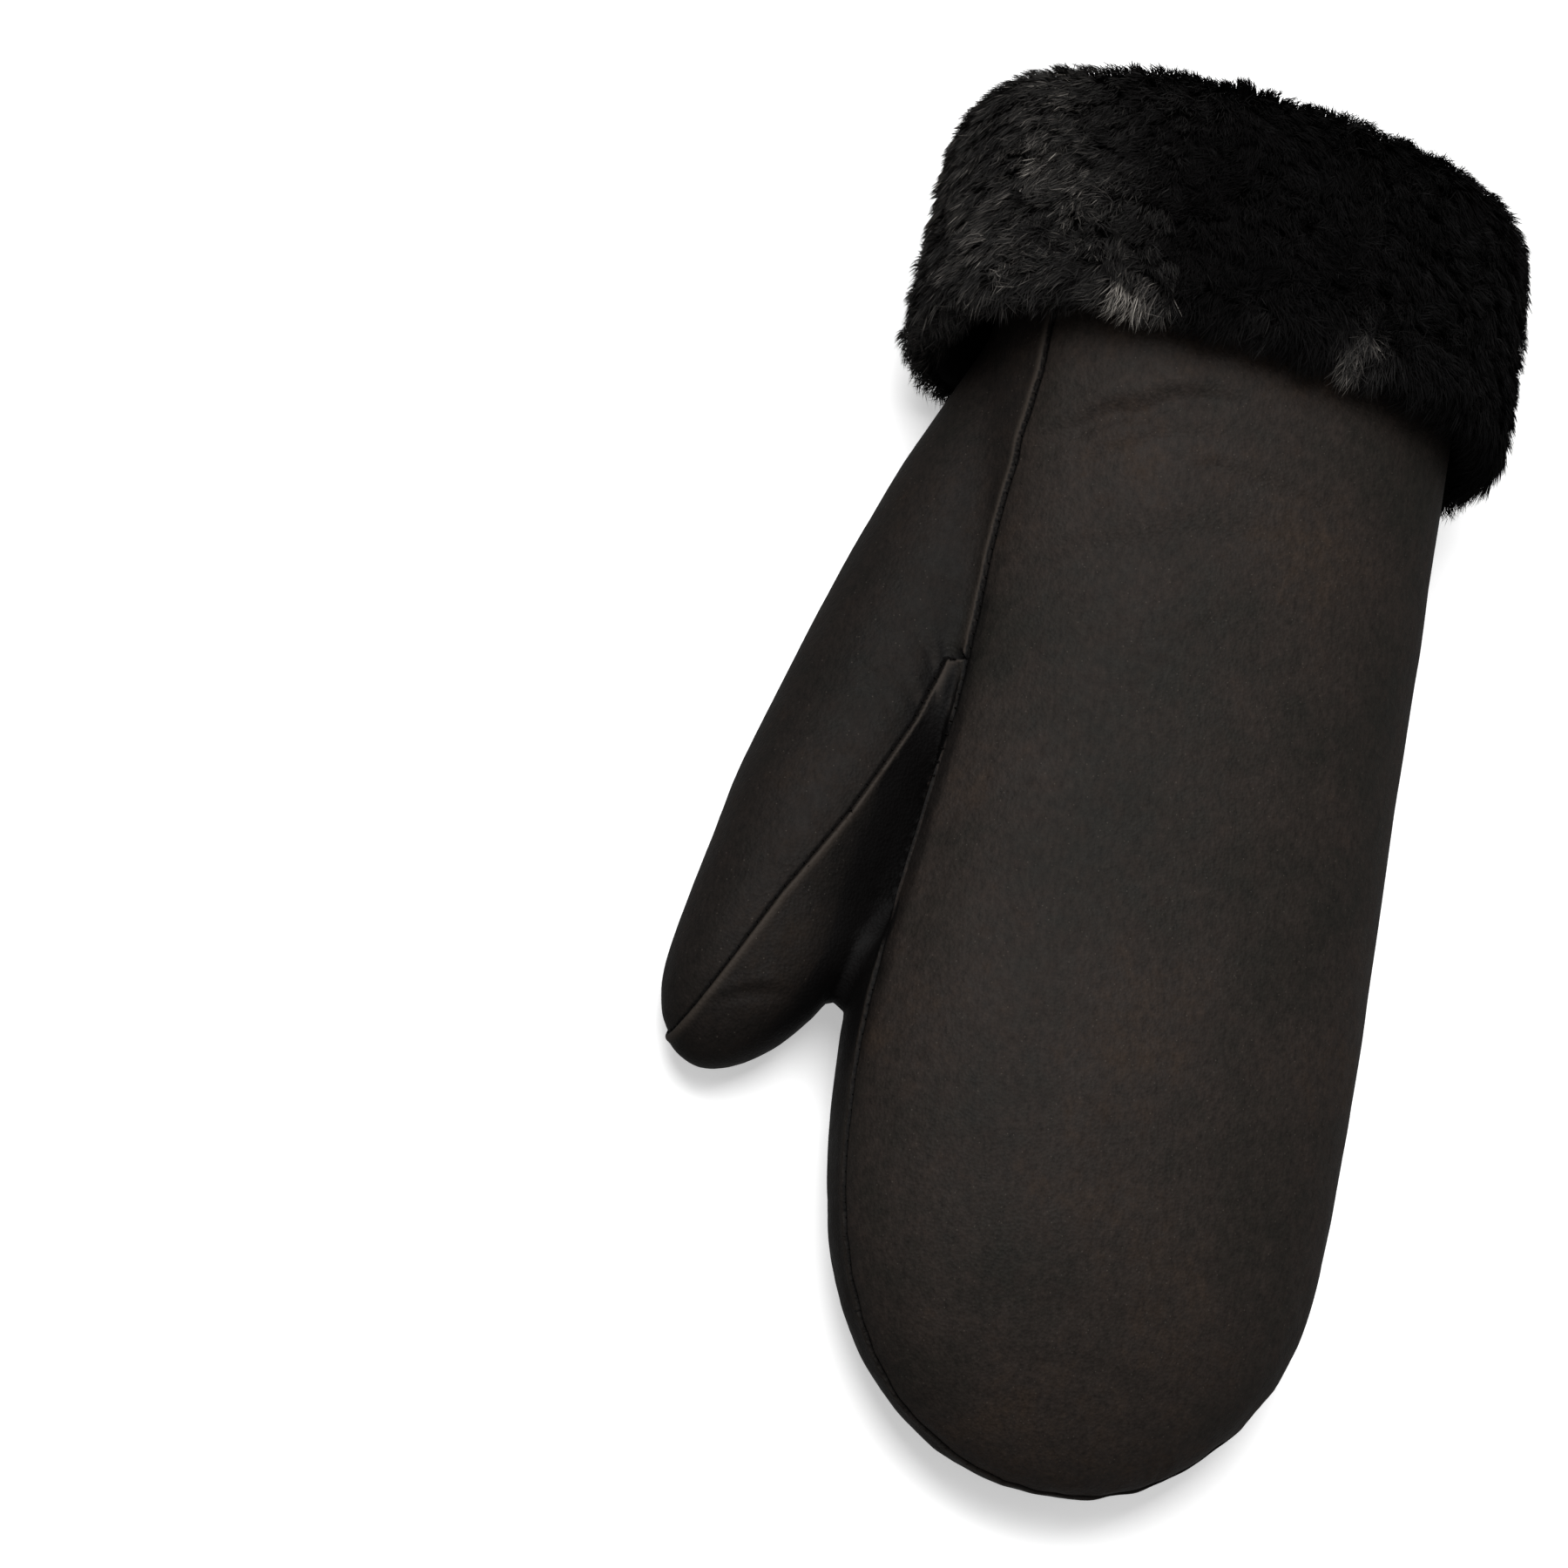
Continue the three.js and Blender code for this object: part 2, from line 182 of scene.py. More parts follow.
soft_light("overhead_light", LAMP_PLACE, (0, 0, 0), LAMP_SIDE, LAMP_WATTS)
world = bpy.data.worlds.new("pale_room")
bpy.context.scene.world = world
world.use_nodes = True
room = next(node for node in world.node_tree.nodes if node.type == "BACKGROUND")
room.inputs["Color"].default_value = linear(0xFFFFFF)
room.inputs["Strength"].default_value = ROOM_STRENGTH
bpy.context.scene.view_settings.view_transform = "Standard"

# %% [markdown]
# The leather starts as a copy of the three sewn panels. They are joined, swelled by a hair so that the seams
# close, and given an even skin of small squares by a voxel remesh. One cut across the mouth then parts the
# outside, which becomes the leather, from the inside, which becomes the woolly lining.

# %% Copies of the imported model
def pick(obj):
    """Makes obj the only selected and active object."""
    bpy.ops.object.select_all(action="DESELECT")
    obj.select_set(True)
    bpy.context.view_layer.objects.active = obj


def copy_of(nodes, name):
    """One new object from copies of these nodes, with their loose triangles merged."""
    copies = []
    for node in nodes:
        copy = bpy.data.objects.new(name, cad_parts[node].data.copy())
        bpy.context.collection.objects.link(copy)
        copies.append(copy)
    pick(copies[0])
    for copy in copies:
        copy.select_set(True)
    if len(copies) > 1:
        bpy.ops.object.join()
    copies[0].data.materials.clear()
    bpy.ops.object.mode_set(mode="EDIT")
    bpy.ops.mesh.select_all(action="SELECT")
    bpy.ops.mesh.remove_doubles(threshold=0.01 * MM)
    bpy.ops.object.mode_set(mode="OBJECT")
    return copies[0]


def shape_with(obj, kind, **settings):
    """Adds one modifier with its settings and applies it."""
    pick(obj)
    modifier = obj.modifiers.new(kind.title(), kind)
    for key, value in settings.items():
        setattr(modifier, key, value)
    bpy.ops.object.modifier_apply(modifier=modifier.name)


def points_of(mesh, what="co"):
    """The places or normals of a mesh's vertices as an array of rows."""
    values = np.empty(len(mesh.vertices) * 3, dtype=np.float32)
    mesh.vertices.foreach_get(what, values)
    return values.reshape(-1, 3).astype(float)


def move_points(mesh, places):
    mesh.vertices.foreach_set("co", np.ascontiguousarray(places, dtype=np.float32).ravel())
    mesh.update()


def edit(obj, *steps):
    """Runs edit-mode steps on all of obj."""
    pick(obj)
    bpy.ops.object.mode_set(mode="EDIT")
    bpy.ops.mesh.select_all(action="SELECT")
    for step, settings in steps:
        step(**settings)
    bpy.ops.object.mode_set(mode="OBJECT")


def mouth_cut(y):
    """The edit-mode step that cuts away all beyond y."""
    return bpy.ops.mesh.bisect, {"plane_co": (0, y, 0), "plane_no": (0, 1, 0), "clear_outer": True}

# %% Outside and inside parted
PANELS = ("back_panel", "finger_palm_panel", "wrist_palm_panel")
WALL_VOXEL = 1.8 * MM
SEAM_CLOSING = 0.25 * MM
MOUTH_Y = cad_high[1] - 19 * MM

sewn_shell = copy_of(PANELS, "sewn_shell")
wall = copy_of(PANELS, "wall")
shape_with(wall, "DISPLACE", strength=SEAM_CLOSING, mid_level=0.0, direction="NORMAL")
shape_with(wall, "REMESH", mode="VOXEL", voxel_size=WALL_VOXEL)
edit(wall, mouth_cut(MOUTH_Y), (bpy.ops.mesh.separate, {"type": "LOOSE"}))
islands = sorted(bpy.context.selected_objects, key=lambda obj: obj.dimensions.x)
lining, skin = islands[-2], islands[-1]
lining.name, skin.name = "wool_lining", "leather_skin"
for crumb in islands[:-2]:
    bpy.data.objects.remove(crumb)
print(len(islands), "islands", [round(obj.dimensions.x / MM) for obj in (lining, skin)], "mm wide")

# %% An even skin of squares
SKIN_VOXEL = 1.5 * MM

pick(skin)
bpy.ops.object.mode_set(mode="EDIT")
bpy.ops.mesh.select_all(action="DESELECT")
bpy.ops.mesh.select_non_manifold()
bpy.ops.mesh.edge_face_add()
bpy.ops.object.mode_set(mode="OBJECT")
shape_with(skin, "REMESH", mode="VOXEL", voxel_size=SKIN_VOXEL)
shape_with(skin, "SHRINKWRAP", wrap_method="NEAREST_SURFACEPOINT", target=sewn_shell)
shape_with(skin, "SMOOTH", factor=0.5, iterations=1)
print("skin", len(skin.data.polygons), "faces")

# %% [markdown]
# Wool presses the leather out between its seams. Cloth with a little air pressure inside the wall does that:
# the seams and the mouth are pinned, gravity is off, twenty frames are run, and no point may move further
# than a cap, because the real mitten is only softly padded.

# %% How far each point is from the panels
panel_trees = [
    BVHTree.FromPolygons(
        [vertex.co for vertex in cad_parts[node].data.vertices],
        [polygon.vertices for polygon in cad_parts[node].data.polygons],
    )
    for node in PANELS
]


def nearest_on_panels(places):
    """For each place, the nearest point of each panel and the distance to it."""
    points = np.empty((len(PANELS), len(places), 3))
    gaps = np.empty((len(PANELS), len(places)))
    for row, tree in enumerate(panel_trees):
        for column, place in enumerate(places):
            found = tree.find_nearest(place)
            points[row, column] = found[0]
            gaps[row, column] = found[3]
    return points, gaps


def smooth_step(value, low, high):
    share = np.clip((value - low) / (high - low), 0, 1)
    return share * share * (3 - 2 * share)

# %% Cloth under pressure
PUFF_CAP = 1.4 * MM
PINNED_NEAR_SEAM = 4 * MM
PINNED_MOUTH = 12 * MM
AIR_PRESSURE = 4
CLOTH_FRAMES = 20

rest = points_of(skin.data)
_, gaps = nearest_on_panels(rest)
to_seam = np.sort(gaps, axis=0)[1]
puff = np.zeros_like(rest)
pins = skin.vertex_groups.new(name="pinned")
for index in np.flatnonzero((to_seam < PINNED_NEAR_SEAM) | (rest[:, 1] > MOUTH_Y - PINNED_MOUTH)):
    pins.add([int(index)], 1.0, "REPLACE")
cloth = skin.modifiers.new("Cloth", "CLOTH")
cloth.settings.use_pressure = True
cloth.settings.uniform_pressure_force = AIR_PRESSURE
cloth.settings.effector_weights.gravity = 0
cloth.settings.vertex_group_mass = "pinned"
cloth.point_cache.frame_end = CLOTH_FRAMES
for step in range(1, CLOTH_FRAMES + 1):
    bpy.context.scene.frame_set(step)
pick(skin)
bpy.ops.object.modifier_apply(modifier="Cloth")
bpy.context.scene.frame_set(1)
puff = points_of(skin.data) - rest
length = np.linalg.norm(puff, axis=1, keepdims=True)
puff *= PUFF_CAP * np.tanh(length / PUFF_CAP) / np.maximum(length, 1e-9)
move_points(skin.data, rest)
print("pressure moved the skin by up to", round(float(length.max() / MM), 2), "mm before the cap")
stored_puff = skin.data.attributes.new("puff", "FLOAT_VECTOR", "POINT")
stored_puff.data.foreach_set("vector", puff.astype(np.float32).ravel())

# %% [markdown]
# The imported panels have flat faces, and smoothing melts these into one soft form. It must not fill the sharp
# crease between thumb and hand, though, so each point first looks out along a few rays: where it sees its own
# skin close by, it lies in a crease, and there it is hardly smoothed and not swelled.

# %% Smoothing that leaves the crease sharp
MOUTH_TRIM = 5 * MM
OUTLOOK = 16 * MM
OUTLOOK_TILTS = [math.radians(value) for value in (28, 50, 70)]
SOFTENING = 40
CREASE_GAIN = 4
HELD_IN_CREASE = 0.9


def tree_of(obj):
    return BVHTree.FromPolygons(
        [vertex.co for vertex in obj.data.vertices], [polygon.vertices[:] for polygon in obj.data.polygons],
    )


def closeness(obj, tree, span=OUTLOOK):
    """How much of each point's outlook its own skin fills, from 0 in the open to 1 in a deep crease."""
    places, normals = points_of(obj.data), points_of(obj.data, "normal")
    aside = np.cross(normals, (0.2, 1.0, 0.1))
    aside /= np.linalg.norm(aside, axis=1, keepdims=True)
    onward = np.cross(normals, aside)
    filled = np.zeros(len(places))
    looks = [(tilt, turn) for tilt in OUTLOOK_TILTS for turn in np.linspace(0, 2 * math.pi, 6, endpoint=False)]
    for tilt, turn in looks:
        rays = normals * math.cos(tilt) + (aside * math.cos(turn) + onward * math.sin(turn)) * math.sin(tilt)
        for index, (place, ray) in enumerate(zip(places + normals * 0.4 * MM, rays)):
            reach = tree.ray_cast(place, ray, span)[3]
            if reach is not None:
                filled[index] += (1 - reach / span) / len(looks)
    return filled


edit(skin, mouth_cut(MOUTH_Y - MOUTH_TRIM))
in_crease = np.clip(closeness(skin, tree_of(skin)) * CREASE_GAIN, 0, 1)
open_group = skin.vertex_groups.new(name="open")
for index, weight in enumerate(1 - HELD_IN_CREASE * in_crease):
    open_group.add([index], float(weight), "REPLACE")
shape_with(skin, "SMOOTH", factor=0.5, iterations=SOFTENING, vertex_group="open")
puff = np.empty(len(skin.data.vertices) * 3, dtype=np.float32)
skin.data.attributes["puff"].data.foreach_get("vector", puff)
move_points(skin.data, points_of(skin.data) + puff.reshape(-1, 3) * (1 - in_crease)[:, None])
print("points in the crease", int((in_crease > 0.5).sum()))

# %% [markdown]
# A seam is far narrower than the squares of the skin, so the faces beside it are divided, and once more right
# at its edge.

# %% Finer faces near the seams
FINE_NEAR_SEAM = (3.6 * MM, 1.3 * MM)


def face_centres(mesh):
    values = np.empty(len(mesh.polygons) * 3, dtype=np.float32)
    mesh.polygons.foreach_get("center", values)
    return values.reshape(-1, 3).astype(float)


def divide_faces(obj, chosen):
    """Cuts each chosen face in four."""
    pick(obj)
    bpy.ops.object.mode_set(mode="EDIT")
    bpy.ops.mesh.select_mode(type="FACE")
    bpy.ops.mesh.select_all(action="DESELECT")
    bpy.ops.object.mode_set(mode="OBJECT")
    obj.data.polygons.foreach_set("select", chosen)
    bpy.ops.object.mode_set(mode="EDIT")
    bpy.ops.mesh.subdivide(number_cuts=1)
    bpy.ops.mesh.select_mode(type="VERT")
    bpy.ops.object.mode_set(mode="OBJECT")


for reach in FINE_NEAR_SEAM:
    _, gaps = nearest_on_panels(face_centres(skin.data))
    divide_faces(skin, np.sort(gaps, axis=0)[1] < reach)
    shape_with(skin, "SMOOTH", factor=0.5, iterations=2, vertex_group="open")
print("leather", len(skin.data.polygons), "faces")

# %% [markdown]
# Seams come after the remesh, which would have rubbed them out. Each face belongs to the panel it is nearest
# to, and the points between two panels are slid onto the true seam line. Such a seam is sewn from the inside
# and turned out, so outside it is only a fine dark groove: the palm's edge rolls up beside it, the back sinks
# gently to it, and small puckers gather where the fingertips are eased in.

# %% Which panel each face belongs to
_, face_gaps = nearest_on_panels(face_centres(skin.data))
face_panel = np.argmin(face_gaps, axis=0)

corner_vertex = np.empty(len(skin.data.loops), dtype=np.int32)
skin.data.loops.foreach_get("vertex_index", corner_vertex)
corner_count = np.empty(len(skin.data.polygons), dtype=np.int32)
skin.data.polygons.foreach_get("loop_total", corner_count)
corner_panel = np.repeat(face_panel, corner_count)
touches = np.zeros((len(PANELS), len(skin.data.vertices)), dtype=bool)
for number in range(len(PANELS)):
    touches[number, corner_vertex[corner_panel == number]] = True
on_seam = touches.sum(axis=0) > 1

places = points_of(skin.data)
normals = points_of(skin.data, "normal")
points, gaps = nearest_on_panels(places)
order = np.argsort(gaps, axis=0)
rows = np.arange(len(places))
middle = (points[order[0], rows] + points[order[1], rows]) / 2
slide = middle - places
slide -= normals * np.sum(slide * normals, axis=1, keepdims=True)
slide *= (on_seam & (np.linalg.norm(slide, axis=1) < 2.5 * MM))[:, None]
places += slide
print("seam points", int(on_seam.sum()))

# %% [markdown]
# The strip of leather on the thumb's inner side does not end at the hand: it dives under the hand's edge, so
# the two meet in a deep dark crease. The strip's points are pushed down and inwards, the more the nearer they
# lie to the hand, and not at all along its seams.

# %% The dive of the thumb's strip
DIVE = np.array([4.5, 0.5, -9.0]) * MM
DIVE_Y = [value * MM for value in (-50, -30, -10, 12)]
THUMB_SIDE_X = -20 * MM
CREASE_X = -45 * MM
UPPER_SIDE_Z = 25 * MM
BACK, FINGER, WRIST = range(3)

_, gaps = nearest_on_panels(places)
strip = (np.argmin(gaps, axis=0) == FINGER) & (places[:, 0] < THUMB_SIDE_X) & ~on_seam
across_strip = gaps[WRIST] / np.maximum(gaps[WRIST] + gaps[BACK], 1e-9)
dive = strip * smooth_step(normals[:, 2], 0.0, 0.4) * across_strip**1.6
dive *= smooth_step(gaps[BACK], 0, 2.2 * MM)
along_crease = smooth_step(places[:, 1], DIVE_Y[0], DIVE_Y[1])
along_crease *= 1 - smooth_step(places[:, 1], DIVE_Y[2], DIVE_Y[3])
dive *= along_crease
dived = places + dive[:, None] * DIVE
print("points that dive", int((dive > 0.1).sum()))

# %% The relief of the leather
WIDE_OUTLOOK = 40 * MM
SEAM_DEPTH = 0.9 * MM
SEAM_WIDTH = 0.34 * MM
ROLL_HEIGHT = 0.3 * MM
ROLL_AT = 1.0 * MM
SINK_DEPTH = 0.6 * MM
SINK_WIDTH = 3.2 * MM
# How far each panel rolls up, or sinks, beside its seam with each other panel
ROLLS = {("wrist_palm_panel", "back_panel"): 1.0, ("finger_palm_panel", "wrist_palm_panel"): 1.0,
         ("finger_palm_panel", "back_panel"): 0.25}
SINKS = {("back_panel", "wrist_palm_panel"): 1.0, ("back_panel", "finger_palm_panel"): 0.6,
         ("wrist_palm_panel", "finger_palm_panel"): 1.0}
PUCKER_HEIGHT = 0.4 * MM
PUCKER_STEP = 5.5 * MM
FINGER_END_Y = cad_low[1] + 45 * MM
WRINKLE_DEPTH = 1.5
WRINKLES = [
    {"x": -13, "y": 67, "turn": 26, "long": 17, "wide": 2.6, "deep": 0.9},
    {"x": -12, "y": 60, "turn": 24, "long": 14, "wide": 2.2, "deep": 0.45},
    {"x": 2, "y": 73, "turn": 4, "long": 9, "wide": 1.3, "deep": 0.35},
    {"x": 4, "y": 59.5, "turn": 4, "long": 8, "wide": 1.1, "deep": 0.22},
    {"x": 20, "y": 58, "turn": -6, "long": 16, "wide": 1.6, "deep": 0.3},
    {"x": 9, "y": 27.5, "turn": 35, "long": 4, "wide": 1.2, "deep": 0.2},
    {"x": -8, "y": 40, "turn": 22, "long": 22, "wide": 4.0, "deep": 0.4},
    {"x": -49, "y": 9.5, "turn": -42, "long": 5, "wide": 0.9, "deep": 0.4},
    {"x": -45, "y": 13, "turn": -48, "long": 7, "wide": 1.1, "deep": 0.35},
    {"x": -40, "y": 18, "turn": -60, "long": 5, "wide": 1.0, "deep": 0.3},
    {"x": -33.8, "y": 10.5, "turn": 86, "long": 4, "wide": 0.8, "deep": 0.6},
    {"x": -62, "y": -57, "turn": 15, "long": 6, "wide": 1.2, "deep": 0.5},
    {"x": -20, "y": -130, "turn": 35, "long": 4, "wide": 1.0, "deep": 0.28},
    {"x": -16, "y": -129, "turn": 60, "long": 3.5, "wide": 0.9, "deep": 0.25},
    {"x": 4.7, "y": -134, "turn": 84, "long": 3.5, "wide": 0.8, "deep": 0.28},
    {"x": 33.7, "y": -133, "turn": 118, "long": 4, "wide": 1.1, "deep": 0.35},
]


def noise_at(places, span, seed):
    """Smooth noise from -1 to 1 whose bumps are span wide."""
    shift = Vector((seed * 7.3, seed * 3.1, seed * 5.7))
    return np.array([noise.noise(Vector(place) / span + shift) for place in places])


def bump(value, width):
    """A smooth hill of height 1 around value 0."""
    return np.exp(-((value / width) ** 2))


_, gaps = nearest_on_panels(places)
to_seam = np.sort(gaps, axis=0)[1]
to_seam[on_seam] = 0
order = np.argsort(gaps, axis=0)
beside = smooth_step(to_seam, 0, 0.6 * MM)


def share_of(table):
    """The table's value at each point, by the panel it is on and the panel across the nearest seam."""
    values = np.zeros((len(PANELS), len(PANELS)))
    for (own, other), value in table.items():
        values[PANELS.index(own), PANELS.index(other)] = value
    return values[order[0], order[1]] * beside


roll = bump(to_seam - ROLL_AT, 0.8 * MM) * share_of(ROLLS)
# Under the hand's edge the seam is out of sight
tucked = along_crease * (order[2] == WRIST) * (places[:, 0] < THUMB_SIDE_X) * (places[:, 2] > UPPER_SIDE_Z)
roll *= 1 - tucked
groove_share = bump(to_seam, SEAM_WIDTH) * (1 - tucked)
relief = ROLL_HEIGHT * roll - SEAM_DEPTH * groove_share
relief -= SINK_DEPTH * bump(to_seam, SINK_WIDTH) * share_of(SINKS)
gather = noise_at(places, PUCKER_STEP, 1) * bump(to_seam, 5 * MM)
ease = 0.35 + 0.9 * (1 - smooth_step(places[:, 1], FINGER_END_Y - 0.03, FINGER_END_Y))
relief += PUCKER_HEIGHT * ease * gather
relief += 0.7 * MM * noise_at(places, 48 * MM, 2) + 0.25 * MM * noise_at(places, 17 * MM, 3)
waver = noise_at(places, 9 * MM, 4)
upper = smooth_step(normals[:, 2], 0.1, 0.4)
for fold in WRINKLES:
    turn = math.radians(fold["turn"])
    x = places[:, 0] / MM - fold["x"]
    y = places[:, 1] / MM - fold["y"]
    along = (x * math.cos(turn) + y * math.sin(turn)) / fold["long"]
    across = (y * math.cos(turn) - x * math.sin(turn)) / fold["wide"] + 0.6 * waver + 0.5 * along**2
    wave = bump(across, 1) - 0.45 * bump(across - 1.7, 1)
    relief -= WRINKLE_DEPTH * fold["deep"] * MM * upper * wave * bump(along, 1)
places = dived + normals * relief[:, None]
places[:, 2] = np.maximum(places[:, 2], 0)
move_points(skin.data, places)
# How closely each point is hemmed in by its own skin, for the painted shade in the creases
in_crease = closeness(skin, tree_of(skin), WIDE_OUTLOOK)
print("relief in mm", round(float(relief.min() / MM), 2), "to", round(float(relief.max() / MM), 2))

# %% [markdown]
# Nappa leather is sprayed and ironed to an even, nearly matt finish. The eye finds a brown-black that is a
# little cloudy, a fine grain of pores and short nap streaks a few tenths of a millimetre wide, tiny light
# specks, edges lighter along the rolled seams, partly rubbed wear and partly a painted highlight, and a
# painted shade, near black, down in a crease or groove.

# %% Leather
LEATHER_DEEP = 0x191714
LEATHER_BROWN = 0x221D1A
LEATHER_RED = 0x29211B
# Rolled seam edges: rubbed wear and a painted highlight
LEATHER_WEAR_HIGHLIGHT = 0x342E29
LEATHER_SPECK = 0x5E5750
# Painted shade: the near black that creases and seam grooves are mixed towards
PAINTED_SHADE_BLACK = 0x050404
GRAIN_SPAN = 0.7 * MM
SPECK_SPAN = 1.6 * MM
NAP_SPAN = 1.1 * MM

leather, tree = new_material("brown_black_nappa")
where = add_node(tree, "ShaderNodeTexCoord").outputs["Object"]
clouds = add_node(tree, "ShaderNodeTexNoise", Vector=where, Scale=1 / (38 * MM), Detail=5.0, Roughness=0.6)
mottle = add_node(tree, "ShaderNodeTexNoise", Vector=where, Scale=1 / (5 * MM), Detail=6.0, Roughness=0.7)
cover = add_node(
    tree, "ShaderNodeMix", {"data_type": "FLOAT"}, Factor=0.4, i2=clouds.outputs["Fac"], i3=mottle.outputs["Fac"],
)
skin_colour = ramp(tree, cover.outputs[0], (0.38, LEATHER_DEEP), (0.53, LEATHER_BROWN), (0.66, LEATHER_RED))
streaks = add_node(tree, "ShaderNodeMapping", Vector=where, Scale=(1.0, 0.5, 1.0))
nap = add_node(
    tree, "ShaderNodeTexNoise", Vector=streaks.outputs[0], Scale=1 / NAP_SPAN, Detail=6.0, Roughness=0.8,
)
nap_shade = add_node(
    tree, "ShaderNodeMapRange", Value=nap.outputs["Fac"], From_Min=0.3, From_Max=0.7, To_Min=0.5, To_Max=1.5,
)
# Panel tone: the palm panels are darker, partly a darker skin and partly painted shade
tone_and_shade = add_node(tree, "ShaderNodeAttribute", {"attribute_name": "tone_and_shade"})
nap_tone_and_shade = add_node(
    tree, "ShaderNodeMath", {"operation": "MULTIPLY"}, i0=nap_shade.outputs[0], i1=tone_and_shade.outputs["Fac"],
)
napped = add_node(
    tree, "ShaderNodeVectorMath", {"operation": "SCALE"}, i0=skin_colour, Scale=nap_tone_and_shade.outputs[0],
)
# Lighter leather along the rolled seam edges: partly rubbed wear, partly a painted highlight
wear_and_highlight = add_node(tree, "ShaderNodeAttribute", {"attribute_name": "wear_and_highlight"})
rubbed = add_node(
    tree, "ShaderNodeMix", {"data_type": "RGBA"}, Factor=wear_and_highlight.outputs["Fac"],
    i6=napped.outputs[0], i7=linear(LEATHER_WEAR_HIGHLIGHT),
)
specks = add_node(tree, "ShaderNodeTexVoronoi", Vector=where, Scale=1 / SPECK_SPAN)
speck_mask = ramp(tree, specks.outputs["Distance"], (0.05, 0xFFFFFF), (0.11, 0x000000))
speck_share = add_node(tree, "ShaderNodeMath", {"operation": "MULTIPLY"}, i0=speck_mask, i1=0.25)
speckled = add_node(
    tree, "ShaderNodeMix", {"data_type": "RGBA"}, Factor=speck_share.outputs[0],
    i6=rubbed.outputs[2], i7=linear(LEATHER_SPECK),
)
# Painted shade: the seam grooves and the creases are darkened towards near black
painted_groove_shade = add_node(tree, "ShaderNodeAttribute", {"attribute_name": "painted_groove_shade"})
painted_crease_shade = add_node(tree, "ShaderNodeAttribute", {"attribute_name": "painted_crease_shade"})
deep = add_node(
    tree, "ShaderNodeMath", {"operation": "MAXIMUM"}, i0=painted_groove_shade.outputs["Fac"], i1=painted_crease_shade.outputs["Fac"],
)
leather_colour = add_node(
    tree, "ShaderNodeMix", {"data_type": "RGBA"}, Factor=deep.outputs[0],
    i6=speckled.outputs[2], i7=linear(PAINTED_SHADE_BLACK),
)
grain = add_node(tree, "ShaderNodeTexVoronoi", Vector=where, Scale=1 / GRAIN_SPAN)
grain_height = add_node(
    tree, "ShaderNodeMix", {"data_type": "FLOAT"}, Factor=0.5, i2=grain.outputs["Distance"], i3=nap.outputs["Fac"],
)
grain_bump = add_node(
    tree, "ShaderNodeBump", Strength=0.8, Distance=0.24 * MM, Height=grain_height.outputs[0],
)
sheen_of_wear = add_node(
    tree, "ShaderNodeMapRange", Value=mottle.outputs["Fac"], From_Min=0.3, From_Max=0.7, To_Min=0.56, To_Max=0.74,
)
leather_shader = add_node(
    tree, "ShaderNodeBsdfPrincipled", Base_Color=leather_colour.outputs[2], Roughness=sheen_of_wear.outputs[0],
    Normal=grain_bump.outputs[0], Specular_IOR_Level=0.09,
)
finish_material(tree, leather_shader)

# %% [markdown]
# The skin is now parted into its three panels along the seam lines and given the leather's own thickness
# inwards, so that each panel is a closed solid of its own that stands for one part of the imported model. The
# palm's pieces are darker than the back: partly a darker skin, partly painted shade.

# %% Three leather panels
LEATHER_THICK = 1.6 * MM
# The closeness at which the painted shade starts to darken the leather in a crease, and at which it is black
PAINTED_SHADE_CLOSENESS = (0.02, 0.23)
# Brightness of each panel's leather; the palm's darkness is partly a darker skin, partly painted shade
PANEL_TONES_AND_SHADE = (1.0, 0.42, 0.54)

# Rubbed wear with a painted highlight on the rolled edges, and painted shade in the seam grooves and creases
for name, share in (
    ("wear_and_highlight", 0.8 * roll), ("painted_groove_shade", groove_share), ("painted_crease_shade", smooth_step(in_crease, *PAINTED_SHADE_CLOSENESS)),
):
    skin.data.attributes.new(name, "FLOAT", "POINT").data.foreach_set("value", share.astype(np.float32))
tone_and_shade = np.array(PANEL_TONES_AND_SHADE, dtype=np.float32)[face_panel]
skin.data.attributes.new("tone_and_shade", "FLOAT", "FACE").data.foreach_set("value", tone_and_shade)
corner_edge = np.empty(len(skin.data.loops), dtype=np.int32)
skin.data.loops.foreach_get("edge_index", corner_edge)
sides = np.zeros((len(PANELS), len(skin.data.edges)), dtype=bool)
for number in range(len(PANELS)):
    sides[number, corner_edge[corner_panel == number]] = True
seam_edges = [skin.data.edges[int(index)].vertices[:] for index in np.flatnonzero(sides.sum(axis=0) > 1)]
skin.data.materials.clear()
for number in range(len(PANELS)):
    skin.data.materials.append(leather)
skin.data.polygons.foreach_set("material_index", face_panel.astype(np.int32))
skin.data.attributes.new("panel", "INT", "FACE").data.foreach_set("value", face_panel.astype(np.int32))
skin_places = points_of(skin.data)
skin_normals = points_of(skin.data, "normal")
leather_tree = tree_of(skin)
pick(skin)
bpy.ops.object.mode_set(mode="EDIT")
bpy.ops.mesh.select_all(action="SELECT")
bpy.ops.mesh.separate(type="MATERIAL")
bpy.ops.object.mode_set(mode="OBJECT")
for piece in list(bpy.context.selected_objects):
    number = piece.data.attributes["panel"].data[0].value
    piece.data.materials.clear()
    piece.data.materials.append(leather)
    piece.data.polygons.foreach_set("material_index", np.zeros(len(piece.data.polygons), dtype=np.int32))
    shape_with(piece, "SOLIDIFY", thickness=LEATHER_THICK, offset=-1.0)
    bpy.ops.object.shade_smooth_by_angle(angle=math.radians(50))
    piece.name = PANELS[number].replace("panel", "leather")
    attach(piece, "root")
    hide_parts(PANELS[number])
    print(piece.name, len(piece.data.polygons), "faces")
bpy.data.objects.remove(sewn_shell)

# %% [markdown]
# One waxed thread holds each seam. Outside only its short crossings show, deep in the groove, every few
# millimetres. The seam's edges are walked from end to end, and a small arched thread is set at each step.

